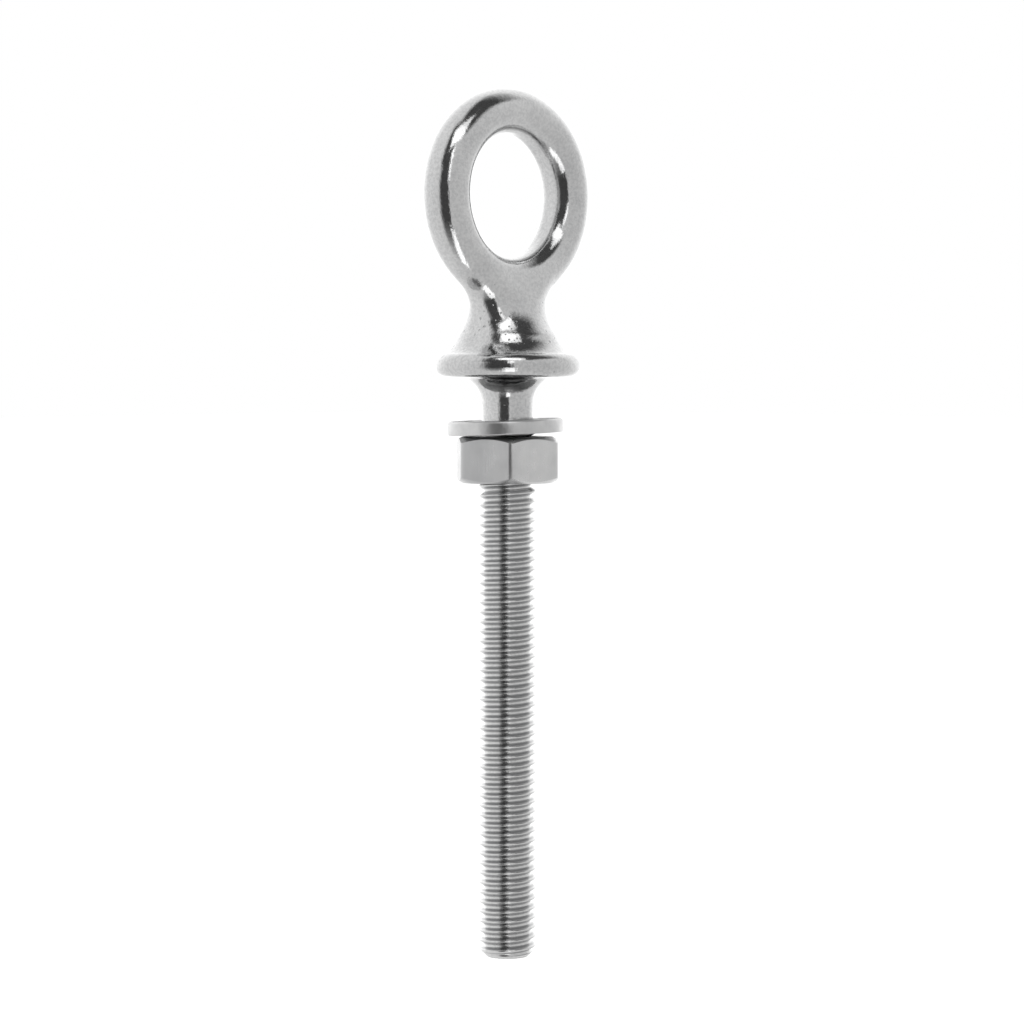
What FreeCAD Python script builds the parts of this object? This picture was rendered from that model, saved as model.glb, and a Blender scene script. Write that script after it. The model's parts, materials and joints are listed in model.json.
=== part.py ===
import FreeCAD, Part
import math
import os
import Sketcher

# A collared lifting eye bolt, M6 x 60, with its flat washer and hexagon nut. Millimetres.
# The origin is the centre of the collar's flat underside, +Z up through the eye, and the
# eye's hole runs along Y. The shank hangs down along -Z.

SIZES = [
    # the eye: a ring of round bar whose hole has a narrow cylindrical land
    ("ring_height", 18.6),
    ("ring_mean_radius", 8.55),
    ("ring_bar_radius", 2.45),
    ("ring_hole_radius", 6.3),
    # the collar and the round flare that runs up from it into the neck
    ("flare_top_height", 4.2),
    ("flare_top_radius", 5.05),
    ("flare_curve_radius", 4.5),
    ("collar_crease_height", 2.47),
    ("collar_crease_radius", 6.7),
    ("collar_rim_radius", 1.26),
    ("collar_seat_outer", 6.3),
    ("collar_seat_inner", 4.9),
    # the shank: plain for a short way, then threaded to its end
    ("seat_fillet_radius", 2.55),
    ("shank_plain_radius", 2.65),
    ("shank_plain_top", 2.6),
    ("thread_start", 4.6),
    ("thread_start_slope", 0.3),
    ("shank_length", 59.9),
    ("shank_end_chamfer", 0.55),
    # the M6 x 1 right-hand thread. Its crest stands at this height where it crosses +X.
    ("thread_pitch", 1.0),
    ("thread_crest_radius", 2.95),
    ("thread_root_radius", 2.4),
    ("thread_root_flat", 0.25),
    ("thread_flank_angle", 30.0),
    ("thread_crest_height", 0.425),
    ("thread_cutter_reach", 0.2),
    ("thread_lead_in_turns", 1.0),
    ("thread_run_out_turns", 1.2),
    # the washer, which lies a little askew and off centre above the nut
    ("washer_radius", 5.9),
    ("washer_bore_radius", 3.25),
    ("washer_thickness", 1.4),
    ("washer_edge_round", 0.25),
    ("washer_height", -5.12),
    ("washer_tilt", 2.1),
    ("washer_tilt_heading", 225.0),
    ("washer_shift", 0.2),
    ("washer_shift_heading", 135.0),
    # the hexagon nut, with an internal thread that follows the shank's with clearance
    ("nut_across_flats", 10.0),
    ("nut_thickness", 4.75),
    ("nut_underside", -10.87),
    ("nut_corner_heading", 49.8),
    ("nut_chamfer_angle", 30.0),
    ("nut_face_radius", 4.65),
    ("nut_bore_radius", 2.5),
    ("nut_mouth_radius", 3.3),
    ("nut_thread_clearance", 0.1),
    ("nut_thread_root_radius", 3.05),
    ("tap_reach", 0.08),
    ("tap_lead_in_turns", 2.0),
    ("tap_run_out_turns", 1.0),
]

# Half widths of the neck along X and Y at each height, from the round flare up into the ring.
NECK_SECTIONS = [
    (5.2, 4.68, 4.35),
    (6.4, 4.47, 3.66),
    (7.5, 4.55, 3.25),
    (8.5, 4.85, 2.98),
    (9.6, 5.50, 2.72),
    (10.8, 6.30, 2.20),
]

doc = FreeCAD.newDocument("eye_bolt")
sheet = doc.addObject("Spreadsheet::Sheet", "Sizes")


def fill_sheet():
    rows = list(SIZES)
    for number, (height, half_x, half_y) in enumerate(NECK_SECTIONS, start=1):
        rows.append((f"neck_height_{number}", height))
        rows.append((f"neck_half_x_{number}", half_x))
        rows.append((f"neck_half_y_{number}", half_y))
    for row, (alias, value) in enumerate(rows, start=1):
        sheet.set(f"A{row}", alias)
        sheet.set(f"B{row}", str(value))
        sheet.setAlias(f"B{row}", alias)
    doc.recompute()


def size(alias):
    """The sheet's present value, used to draw a sketch near its solved shape."""
    return float(sheet.get(alias))


def new_body(label):
    body = doc.addObject("PartDesign::Body", label)
    body.Label = label
    return body


def new_sketch(body, name, role, offset_expression=None):
    plane = next(item for item in body.Origin.OriginFeatures if item.Role == role)
    sketch = body.newObject("Sketcher::SketchObject", name)
    sketch.AttachmentSupport = [(plane, "")]
    sketch.MapMode = "FlatFace"
    if offset_expression:
        sketch.setExpression("AttachmentOffset.Base.z", offset_expression)
    return sketch


def constrain(sketch, constraint, name=None, expression=None):
    index = sketch.addConstraint(constraint)
    if expression:
        sketch.renameConstraint(index, name)
        sketch.setExpression(f"Constraints.{name}", expression)
    return index


def place_point(sketch, name, edge, end, point, formulas):
    """Hold one end of an edge at the place its two formulas give. A formula of None is zero."""
    axes = (("DistanceX", "x", point[0], formulas[0], -2), ("DistanceY", "y", point[1], formulas[1], -1))
    for kind, suffix, value, formula, axis in axes:
        if formula is None:
            constrain(sketch, Sketcher.Constraint("PointOnObject", edge, end, axis))
        else:
            constrain(sketch, Sketcher.Constraint(kind, -1, 1, edge, end, value), f"{name}_{suffix}", formula)


def evaluate(formula):
    """A formula's value in the sheet's sizes. Its words are aliases of the sheet."""
    if formula is None:
        return 0.0
    scratch = sheet.evalExpression(formula.replace("Sizes.", ""))
    return float(getattr(scratch, "Value", scratch))


def draw_outline(sketch, corners, bulges=None):
    """Draw a closed outline through named corners, each a pair of formulas in the sheet's sizes.

    bulges says which sides are arcs: side number -> (radius formula, side of the chord on which
    the arc's centre lies, +1 left or -1 right as the outline runs).
    """
    bulges = bulges or {}
    points = [(evaluate(x), evaluate(y)) for _, x, y in corners]
    count = len(points)
    for side in range(count):
        start = FreeCAD.Vector(*points[side], 0)
        finish = FreeCAD.Vector(*points[(side + 1) % count], 0)
        if side in bulges:
            formula, hand = bulges[side]
            sketch.addGeometry(arc_between(start, finish, evaluate(formula), hand), False)
        else:
            sketch.addGeometry(Part.LineSegment(start, finish), False)
    ends = [side_ends(sketch, side, points[side]) for side in range(count)]
    for side in range(count):
        following = (side + 1) % count
        constrain(sketch, Sketcher.Constraint("Coincident", side, ends[side][1], following, ends[following][0]))
    for side, (name, x_formula, y_formula) in enumerate(corners):
        place_point(sketch, name, side, ends[side][0], points[side], (x_formula, y_formula))
    for side, (formula, _) in bulges.items():
        radius = evaluate(formula)
        constrain(sketch, Sketcher.Constraint("Radius", side, radius), f"radius_{side}", formula)


def arc_between(start, finish, radius, hand):
    """The shorter arc of a given radius whose centre lies left (+1) or right (-1) of the chord."""
    chord = finish - start
    middle = (start + finish) * 0.5
    rise = math.sqrt(max(radius ** 2 - (chord.Length / 2) ** 2, 0.0))
    left = FreeCAD.Vector(-chord.y, chord.x, 0).normalize()
    centre = middle + left * rise * hand
    outward = (middle - centre).normalize() if rise > 1e-9 else left * -hand
    return Part.Arc(start, centre + outward * radius, finish)


def side_ends(sketch, side, start):
    """Which of a side's ends, 1 or 2, is its start in the outline, and which its finish."""
    first = sketch.getPoint(side, 1)
    near = math.hypot(first.x - start[0], first.y - start[1]) < 1e-6
    return (1, 2) if near else (2, 1)


def revolve(body, sketch, axis, kind="PartDesign::Revolution"):
    feature = body.newObject(kind, f"{sketch.Name}_turned")
    feature.Profile = sketch
    feature.ReferenceAxis = (sketch, [axis])
    feature.Angle = 360
    doc.recompute()
    return feature


def cut_thread(body, name, corners, start_height, length):
    """Cut a right-hand helical groove of the given section, from its start height upwards."""
    sketch = new_sketch(body, f"{name}_section", "XZ_Plane")
    shifted = [(word, x, f"{start_height} + ({y})") for word, x, y in corners]
    draw_outline(sketch, shifted)
    doc.recompute()
    before = body.Shape.Volume
    groove = body.newObject("PartDesign::SubtractiveHelix", name)
    groove.Profile = sketch
    groove.ReferenceAxis = (sketch, ["V_Axis"])
    groove.Mode = 0
    groove.LeftHanded = False
    groove.Reversed = False
    groove.Angle = 0
    groove.setExpression("Pitch", "Sizes.thread_pitch")
    groove.setExpression("Height", length)
    doc.recompute()
    if not body.Shape.Volume < before:
        raise RuntimeError(f"{name} cut nothing")


def groove_section(root_radius, root_flat, mouth_radius):
    """A thread groove: flat at its root and opening to its mouth at the flank angle."""
    spread = f"abs({mouth_radius} - {root_radius}) * tan(Sizes.thread_flank_angle * 1deg)"
    half_root = f"{root_flat} / 2"
    half_mouth = f"{half_root} + {spread}"
    return [
        ("root_low", root_radius, f"-({half_root})"),
        ("mouth_low", mouth_radius, f"-({half_mouth})"),
        ("mouth_high", mouth_radius, half_mouth),
        ("root_high", root_radius, half_root),
    ]


def build_eye_bolt():
    """Eye, neck, collar and shank: one piece of metal with the thread rolled into it."""
    body = new_body("eye_bolt")

    turned = new_sketch(body, "shank_and_collar", "XZ_Plane")
    draw_outline(
        turned,
        [
            ("flare_middle", None, "Sizes.flare_top_height"),
            ("flare_edge", "Sizes.flare_top_radius", "Sizes.flare_top_height"),
            ("crease", "Sizes.collar_crease_radius", "Sizes.collar_crease_height"),
            ("seat_outer", "Sizes.collar_seat_outer", None),
            ("seat_inner", "Sizes.collar_seat_inner", None),
            ("plain_top", "Sizes.shank_plain_radius", "-Sizes.shank_plain_top"),
            ("plain_end", "Sizes.shank_plain_radius", "-Sizes.thread_start"),
            ("thread_top", "Sizes.thread_crest_radius", "-Sizes.thread_start - Sizes.thread_start_slope"),
            ("chamfer_top", "Sizes.thread_crest_radius", "-Sizes.shank_length + Sizes.shank_end_chamfer"),
            ("chamfer_end", "Sizes.thread_crest_radius - Sizes.shank_end_chamfer", "-Sizes.shank_length"),
            ("shank_end", None, "-Sizes.shank_length"),
        ],
        bulges={
            1: ("Sizes.flare_curve_radius", +1),
            2: ("Sizes.collar_rim_radius", -1),
            4: ("Sizes.seat_fillet_radius", +1),
        },
    )
    revolve(body, turned, "V_Axis")

    sections = [new_sketch(body, "neck_foot", "XY_Plane", "Sizes.flare_top_height")]
    radius = size("flare_top_radius")
    sections[0].addGeometry(Part.Circle(FreeCAD.Vector(0, 0, 0), FreeCAD.Vector(0, 0, 1), radius), False)
    constrain(sections[0], Sketcher.Constraint("Coincident", 0, 3, -1, 1))
    constrain(sections[0], Sketcher.Constraint("Radius", 0, radius), "foot_radius", "Sizes.flare_top_radius")
    for number in range(1, len(NECK_SECTIONS) + 1):
        sections.append(draw_neck_section(body, number))
    doc.recompute()
    neck = body.newObject("PartDesign::AdditiveLoft", "neck")
    neck.Profile = sections[0]
    neck.Sections = sections[1:]
    neck.Ruled = False
    doc.recompute()

    ring = new_sketch(body, "ring_bar", "YZ_Plane")
    draw_ring_bar(ring)
    revolve(body, ring, "Axis0")

    crest = "Sizes.thread_crest_height"
    run = "Sizes.shank_length - Sizes.thread_start"
    turns_down = "ceil(Sizes.shank_length / Sizes.thread_pitch + Sizes.thread_lead_in_turns)"
    start = f"({crest} - Sizes.thread_pitch / 2 - {turns_down} * Sizes.thread_pitch)"
    cut_thread(
        body,
        "rolled_thread",
        groove_section(
            "Sizes.thread_root_radius",
            "Sizes.thread_root_flat",
            "(Sizes.thread_crest_radius + Sizes.thread_cutter_reach)",
        ),
        start,
        f"{run} + Sizes.thread_run_out_turns * Sizes.thread_pitch",
    )
    return body


def draw_neck_section(body, number):
    """One ellipse of the neck, wide in the plane of the ring and narrow across it."""
    sketch = new_sketch(body, f"neck_section_{number}", "XY_Plane", f"Sizes.neck_height_{number}")
    half_x = size(f"neck_half_x_{number}")
    half_y = size(f"neck_half_y_{number}")
    origin = FreeCAD.Vector(0, 0, 0)
    ellipse = Part.Ellipse(FreeCAD.Vector(half_x, 0, 0), FreeCAD.Vector(0, half_y, 0), origin)
    sketch.addGeometry(ellipse, False)
    sketch.exposeInternalGeometry(0)
    constrain(sketch, Sketcher.Constraint("Coincident", 0, 3, -1, 1))
    constrain(sketch, Sketcher.Constraint("Horizontal", 1))
    long_axis = Sketcher.Constraint("Distance", 1, 2 * half_x)
    constrain(sketch, long_axis, "long_axis", f"2 * Sizes.neck_half_x_{number}")
    short_axis = Sketcher.Constraint("Distance", 2, 2 * half_y)
    constrain(sketch, short_axis, "short_axis", f"2 * Sizes.neck_half_y_{number}")
    return sketch


def draw_ring_bar(sketch):
    """The ring's bar in section: a circle cut flat where the hole's land is, over the hole's axis."""
    hole = size("ring_hole_radius")
    bar = size("ring_bar_radius")
    mean = size("ring_mean_radius")
    level = size("ring_height")
    half_land = math.sqrt(bar ** 2 - (mean - hole) ** 2)
    left = FreeCAD.Vector(-half_land, level + hole, 0)
    right = FreeCAD.Vector(half_land, level + hole, 0)
    crown = FreeCAD.Vector(0, level + mean + bar, 0)
    sketch.addGeometry(Part.Arc(right, crown, left), False)
    sketch.addGeometry(Part.LineSegment(left, right), False)
    axis_end = FreeCAD.Vector(mean, level, 0)
    sketch.addGeometry(Part.LineSegment(FreeCAD.Vector(0, level, 0), axis_end), True)
    constrain(sketch, Sketcher.Constraint("Coincident", 0, 1, 1, 2))
    constrain(sketch, Sketcher.Constraint("Coincident", 0, 2, 1, 1))
    constrain(sketch, Sketcher.Constraint("Horizontal", 1))
    constrain(sketch, Sketcher.Constraint("Horizontal", 2))
    constrain(sketch, Sketcher.Constraint("PointOnObject", 2, 1, -2))
    constrain(sketch, Sketcher.Constraint("PointOnObject", 0, 3, -2))
    height = Sketcher.Constraint("DistanceY", -1, 1, 2, 1, level)
    constrain(sketch, height, "axis_height", "Sizes.ring_height")
    reach = Sketcher.Constraint("DistanceX", 2, 1, 2, 2, mean)
    constrain(sketch, reach, "axis_length", "Sizes.ring_mean_radius")
    radius = Sketcher.Constraint("Radius", 0, bar)
    constrain(sketch, radius, "bar_radius", "Sizes.ring_bar_radius")
    centre = Sketcher.Constraint("DistanceY", -1, 1, 0, 3, level + mean)
    constrain(sketch, centre, "bar_height", "Sizes.ring_height + Sizes.ring_mean_radius")
    land = Sketcher.Constraint("DistanceY", -1, 1, 1, 1, level + hole)
    constrain(sketch, land, "land_height", "Sizes.ring_height + Sizes.ring_hole_radius")


def build_washer():
    """A flat washer with rounded edges, tilted where one side rests on the nut."""
    body = new_body("washer")
    blank = new_sketch(body, "washer_section", "XZ_Plane")
    draw_outline(
        blank,
        [
            ("bore_low", "Sizes.washer_bore_radius", "-Sizes.washer_thickness / 2"),
            ("rim_low", "Sizes.washer_radius", "-Sizes.washer_thickness / 2"),
            ("rim_high", "Sizes.washer_radius", "Sizes.washer_thickness / 2"),
            ("bore_high", "Sizes.washer_bore_radius", "Sizes.washer_thickness / 2"),
        ],
    )
    turned = revolve(body, blank, "V_Axis")
    rounded = body.newObject("PartDesign::Fillet", "rounded_edges")
    rounded.Base = (turned, circular_edges(turned.Shape, size("washer_radius")))
    rounded.setExpression("Radius", "Sizes.washer_edge_round")
    doc.recompute()

    heading = math.radians(size("washer_tilt_heading"))
    axis = FreeCAD.Vector(math.cos(heading), math.sin(heading), 0)
    shift = size("washer_shift")
    shift_heading = math.radians(size("washer_shift_heading"))
    place = FreeCAD.Vector(
        shift * math.cos(shift_heading),
        shift * math.sin(shift_heading),
        size("washer_height"),
    )
    body.Placement = FreeCAD.Placement(place, FreeCAD.Rotation(axis, size("washer_tilt")))
    return body


def circular_edges(shape, radius):
    names = []
    for number, edge in enumerate(shape.Edges, start=1):
        if isinstance(edge.Curve, Part.Circle) and abs(edge.Curve.Radius - radius) < 1e-6:
            names.append(f"Edge{number}")
    return names


def build_hex_nut():
    """A hexagon nut, chamfered on both faces and threaded to run on the shank."""
    body = new_body("hex_nut")
    blank = new_sketch(body, "hexagon", "XY_Plane")
    corner = size("nut_across_flats") / math.sqrt(3)
    corners = []
    for number in range(6):
        angle = math.radians(60 * number)
        corners.append(FreeCAD.Vector(corner * math.cos(angle), corner * math.sin(angle), 0))
    for number in range(6):
        blank.addGeometry(Part.LineSegment(corners[number], corners[(number + 1) % 6]), False)
    blank.addGeometry(Part.Circle(FreeCAD.Vector(0, 0, 0), FreeCAD.Vector(0, 0, 1), corner), True)
    for number in range(6):
        constrain(blank, Sketcher.Constraint("Coincident", number, 2, (number + 1) % 6, 1))
        constrain(blank, Sketcher.Constraint("PointOnObject", number, 1, 6))
        if number:
            constrain(blank, Sketcher.Constraint("Equal", 0, number))
    constrain(blank, Sketcher.Constraint("Coincident", 6, 3, -1, 1))
    constrain(blank, Sketcher.Constraint("PointOnObject", 0, 1, -1))
    reach = Sketcher.Constraint("Radius", 6, corner)
    constrain(blank, reach, "corner_radius", "Sizes.nut_across_flats / sqrt(3)")
    doc.recompute()
    pad = body.newObject("PartDesign::Pad", "hexagon_bar")
    pad.Profile = blank
    pad.setExpression("Length", "Sizes.nut_thickness")
    doc.recompute()

    outer = "(Sizes.nut_across_flats / sqrt(3) + 1)"
    drop = f"({outer} - Sizes.nut_face_radius) * tan(Sizes.nut_chamfer_angle * 1deg)"
    drop_bore = "(Sizes.nut_mouth_radius - Sizes.nut_bore_radius)"
    cones = {
        "top_chamfer": [
            ("inner", "Sizes.nut_face_radius", "Sizes.nut_thickness"),
            ("outer_low", outer, f"Sizes.nut_thickness - {drop}"),
            ("outer_high", outer, "Sizes.nut_thickness"),
        ],
        "bottom_chamfer": [
            ("inner", "Sizes.nut_face_radius", None),
            ("outer_low", outer, None),
            ("outer_high", outer, drop),
        ],
        "bore": [
            ("foot", None, None),
            ("foot_mouth", "Sizes.nut_mouth_radius", None),
            ("foot_bore", "Sizes.nut_bore_radius", drop_bore),
            ("head_bore", "Sizes.nut_bore_radius", f"Sizes.nut_thickness - {drop_bore}"),
            ("head_mouth", "Sizes.nut_mouth_radius", "Sizes.nut_thickness"),
            ("head", None, "Sizes.nut_thickness"),
        ],
    }
    for name, outline in cones.items():
        sketch = new_sketch(body, name, "XZ_Plane")
        draw_outline(sketch, outline)
        before = body.Shape.Volume
        revolve(body, sketch, "V_Axis", "PartDesign::Groove")
        if not body.Shape.Volume < before:
            raise RuntimeError(f"{name} cut nothing")

    # The nut's own +X stands over its corner heading, where the crest is a part of a pitch higher.
    crest = "(Sizes.thread_crest_height + Sizes.nut_corner_heading / 360 * Sizes.thread_pitch)"
    turns_down = "ceil(Sizes.tap_lead_in_turns - Sizes.nut_underside / Sizes.thread_pitch)"
    start = f"({crest} - Sizes.nut_underside - {turns_down} * Sizes.thread_pitch)"
    flank = "tan(Sizes.thread_flank_angle * 1deg)"
    crest_flat = (
        "(Sizes.thread_pitch - Sizes.thread_root_flat"
        f" - 2 * (Sizes.thread_crest_radius - Sizes.thread_root_radius) * {flank})"
    )
    root_flat = (
        f"({crest_flat} + 2 * Sizes.nut_thread_clearance / cos(Sizes.thread_flank_angle * 1deg)"
        f" - 2 * (Sizes.nut_thread_root_radius - Sizes.thread_crest_radius) * {flank})"
    )
    cut_thread(
        body,
        "tapped_thread",
        groove_section(
            "Sizes.nut_thread_root_radius",
            root_flat,
            "(Sizes.nut_bore_radius - Sizes.tap_reach)",
        ),
        start,
        "Sizes.nut_thickness + (Sizes.tap_lead_in_turns + Sizes.tap_run_out_turns) * Sizes.thread_pitch",
    )

    heading = FreeCAD.Rotation(FreeCAD.Vector(0, 0, 1), size("nut_corner_heading"))
    body.Placement = FreeCAD.Placement(FreeCAD.Vector(0, 0, size("nut_underside")), heading)
    return body


def check_and_export(bodies):
    doc.recompute()
    for item in doc.Objects:
        if "Invalid" in item.State or "Error" in item.State:
            raise RuntimeError(f"{item.Label} failed: {item.State}")
    for body in bodies:
        if body.Shape.isNull() or not body.Shape.isValid() or len(body.Shape.Solids) != 1:
            raise RuntimeError(f"{body.Label} is not one valid solid")
    os.makedirs("parts", exist_ok=True)
    for body in bodies:
        body.Shape.exportStep(f"parts/{body.Label}.step")
        print(f"{body.Label}: {body.Shape.Volume:.1f} mm3, {len(body.Shape.Faces)} faces")


fill_sheet()
check_and_export([build_eye_bolt(), build_washer(), build_hex_nut()])
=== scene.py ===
# %% [markdown]
# # A polished lifting eye bolt, with its washer and nut
# The bolt stands upright in plain soft light, clear of the table below it. Three pieces of
# stainless steel make it up: a casting that is eye, neck, collar and threaded shank in one, a
# stamped washer, and a hexagon nut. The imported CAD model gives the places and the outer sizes, and
# each piece here is a finer skin over one of its solids, so the design is never moved or resized.

# %% Load the frame and read its sizes
import json
import math

import bmesh
import bpy
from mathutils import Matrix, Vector


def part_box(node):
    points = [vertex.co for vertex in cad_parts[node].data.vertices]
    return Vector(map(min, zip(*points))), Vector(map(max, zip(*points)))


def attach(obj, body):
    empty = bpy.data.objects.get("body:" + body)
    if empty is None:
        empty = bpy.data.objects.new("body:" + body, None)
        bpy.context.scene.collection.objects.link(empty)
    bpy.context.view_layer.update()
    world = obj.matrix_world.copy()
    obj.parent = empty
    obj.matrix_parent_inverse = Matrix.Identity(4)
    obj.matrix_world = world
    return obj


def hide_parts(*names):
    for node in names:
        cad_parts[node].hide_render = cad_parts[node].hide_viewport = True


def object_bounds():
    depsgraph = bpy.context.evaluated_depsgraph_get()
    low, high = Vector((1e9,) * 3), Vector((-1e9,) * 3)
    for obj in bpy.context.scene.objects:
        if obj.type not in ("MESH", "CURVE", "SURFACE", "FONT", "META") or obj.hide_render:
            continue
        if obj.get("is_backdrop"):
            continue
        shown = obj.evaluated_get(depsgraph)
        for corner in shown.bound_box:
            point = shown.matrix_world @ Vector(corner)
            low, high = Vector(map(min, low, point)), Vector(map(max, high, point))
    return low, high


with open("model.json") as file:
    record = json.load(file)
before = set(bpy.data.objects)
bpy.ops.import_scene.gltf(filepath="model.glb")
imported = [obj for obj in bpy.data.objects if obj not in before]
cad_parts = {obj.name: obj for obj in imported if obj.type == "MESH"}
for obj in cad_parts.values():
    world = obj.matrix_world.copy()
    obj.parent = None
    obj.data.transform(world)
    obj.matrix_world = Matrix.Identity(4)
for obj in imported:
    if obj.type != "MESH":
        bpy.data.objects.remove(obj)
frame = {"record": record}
cad_low, cad_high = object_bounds()

MM = 0.001
mounts = {mount["name"]: mount for mount in frame["record"]["mounts"]}
bolt_low, bolt_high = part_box("eye_bolt")
nut_low, nut_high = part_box("hex_nut")
washer_low, washer_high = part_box("washer")
eye_height = mounts["eye"]["pos_m"][2]
hole_radius = mounts["eye"]["dims"]["r_mm"] * MM
land_width = mounts["eye"]["dims"]["length_mm"] * MM
ring_outer = bolt_high.x
collar_radius = bolt_high.y
shank_end = bolt_low.z
print(f"the bolt stands from {bolt_low.z / MM:.2f} to {bolt_high.z / MM:.2f} mm")
print(f"the eye's hole is {2 * hole_radius / MM:.1f} mm across and {eye_height / MM:.1f} mm above the seat")

# %% [markdown]
# ## A few helpers for working as by hand
# Every operator acts on whatever is selected, and loading leaves the CAD nodes selected. So each
# piece starts with everything deselected, and inside edit mode the next faces, edges or vertices
# are picked by their place. Turns and scalings are given their centre, because without a window
# Blender has no pivot setting to read.


# %% Selecting by place
def start_clean():
    """Leave edit mode and deselect everything."""
    if bpy.context.mode != "OBJECT":
        bpy.ops.object.mode_set(mode="OBJECT")
    bpy.ops.object.select_all(action="DESELECT")


def work_on(piece):
    """Select one piece alone and make it the one that operators act on."""
    start_clean()
    bpy.context.view_layer.objects.active = piece
    piece.select_set(True)


def name_piece(name):
    """Name the object that was just added, and its mesh."""
    piece = bpy.context.object
    piece.name = name
    piece.data.name = name
    return piece


def pick(piece, wanted, kind="VERT"):
    """In edit mode, select just the vertices, edges or faces whose middle passes the test."""
    bpy.ops.mesh.select_mode(type=kind)
    bpy.ops.mesh.select_all(action="DESELECT")
    mesh = bmesh.from_edit_mesh(piece.data)
    group = {"VERT": mesh.verts, "EDGE": mesh.edges, "FACE": mesh.faces}[kind]
    found = 0
    for item in group:
        if kind == "VERT":
            middle = item.co
        elif kind == "EDGE":
            middle = (item.verts[0].co + item.verts[1].co) / 2
        else:
            middle = item.calc_center_median()
        if wanted(middle):
            item.select_set(True)
            found += 1
    mesh.select_flush(True)
    bmesh.update_edit_mesh(piece.data)
    return found


# %% Applying, settling and measuring a piece
def apply_modifier(piece, kind, **settings):
    """Add one modifier, set it up and apply it, which leaves plain geometry."""
    work_on(piece)
    modifier = piece.modifiers.new(kind.lower(), kind)
    for word, value in settings.items():
        setattr(modifier, word, value)
    bpy.ops.object.modifier_apply(modifier=modifier.name)


def settle(piece):
    """Put a piece's place into its mesh, so its object sits at the origin."""
    work_on(piece)
    bpy.ops.object.transform_apply(location=True, rotation=True, scale=True)


def tidy_normals(piece):
    """Merge doubled vertices, then turn every face outwards."""
    work_on(piece)
    bpy.ops.object.mode_set(mode="EDIT")
    bpy.ops.mesh.select_all(action="SELECT")
    bpy.ops.mesh.remove_doubles(threshold=0.002 * MM)
    bpy.ops.mesh.normals_make_consistent(inside=False)
    bpy.ops.object.mode_set(mode="OBJECT")


def report(piece):
    """Print a piece's size, its triangles, and how many of its edges aren't shared by two faces."""
    piece.data.calc_loop_triangles()
    size = " x ".join(f"{side / MM:.2f}" for side in piece.dimensions)
    mesh = bmesh.new()
    mesh.from_mesh(piece.data)
    loose = sum(1 for edge in mesh.edges if not edge.is_manifold)
    mesh.free()
    triangles = len(piece.data.loop_triangles)
    print(f"{piece.name}: {size} mm, {triangles} triangles, {loose} open edges")


# %% [markdown]
# ## The casting: eye, neck and collar
# The real piece is one investment casting, and no edge on it is sharp: the ring's bar swells into
# the neck, and the neck flares out to the collar. A subdivision cage makes that kind of form. It
# could also be a torus and a turned neck remeshed together, but a remesh loses the soft crease at
# the collar and the narrow land inside the hole.
#
# The cage starts as a torus of 24 by 12 faces. A smooth surface is drawn a little inside its
# cage, by (2 + cos step) / 3 on a ring of equal steps, so every radius is divided by that.

# %% The ring's cage
BAR_RADIUS = 2.45 * MM
RING_STEPS = 24
BAR_STEPS = 12
ring_mean = ring_outer - BAR_RADIUS


def cage_radius(radius, steps):
    """The cage's radius whose smooth surface has this radius, on a ring of equal steps."""
    return radius * 3 / (2 + math.cos(math.tau / steps))


start_clean()
bpy.ops.mesh.primitive_torus_add(
    major_segments=RING_STEPS,
    minor_segments=BAR_STEPS,
    major_radius=cage_radius(ring_mean, RING_STEPS),
    minor_radius=cage_radius(BAR_RADIUS, BAR_STEPS),
    location=(0, 0, eye_height),
    rotation=(math.radians(90), 0, 0),
)
casting = name_piece("cast_eye_and_collar")
settle(casting)
print(f"the ring's cage has {len(casting.data.polygons)} faces")


def from_eye(place):
    """How far a place is from the axis of the eye's hole, which runs along Y."""
    return math.hypot(place.x, place.z - eye_height)


# %% The narrow land inside the hole
LAND_REACH = 0.4 * MM
ROW_PITCH = 1.28 * MM
ROW_REACH = 0.6 * MM
land_cage = cage_radius(hole_radius, RING_STEPS)


def in_the_hole(place):
    """True on the three innermost rows of the cage."""
    return from_eye(place) < hole_radius + LAND_REACH


bpy.ops.object.mode_set(mode="EDIT")
inner = pick(casting, in_the_hole)
for side in (-1, 0, 1):
    pick(casting, lambda place: in_the_hole(place) and abs(place.y - side * ROW_PITCH) < ROW_REACH)
    mesh = bmesh.from_edit_mesh(casting.data)
    sample = next(vertex.co.copy() for vertex in mesh.verts if vertex.select)
    grow = land_cage / from_eye(sample)
    along = (side * 0.5 * land_width) / sample.y if side else 1.0
    bpy.ops.transform.resize(value=(grow, along, grow), center_override=(0, 0, eye_height))
print(f"{inner} vertices lie on the land inside the hole")

# %% [markdown]
# ### Joining the neck
# The faces of the ring's lower outside are deleted, which leaves a loop of 20 edges. An oval of 20
# vertices below it is bridged to that loop, so the surface runs from the ring into the neck with
# nothing to hide. From the oval the loop is pulled down and scaled, station by station: waist,
# flare, rounded rim, flat seat, fillet and the plain top of the shank. The rim and the fillet are
# arcs, worked out by their centre and radius.

# %% Open the ring for the neck
PATCH_REACH = math.radians(31)


def under_the_eye(place):
    """True on the outer half of the bar, within two steps of the ring's lowest point."""
    swing = math.atan2(place.x, eye_height - place.z)
    return from_eye(place) > ring_mean and abs(swing) < PATCH_REACH


removed = pick(casting, under_the_eye, "FACE")
bpy.ops.mesh.delete(type="FACE")
print(f"{removed} faces opened for the neck")

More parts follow.
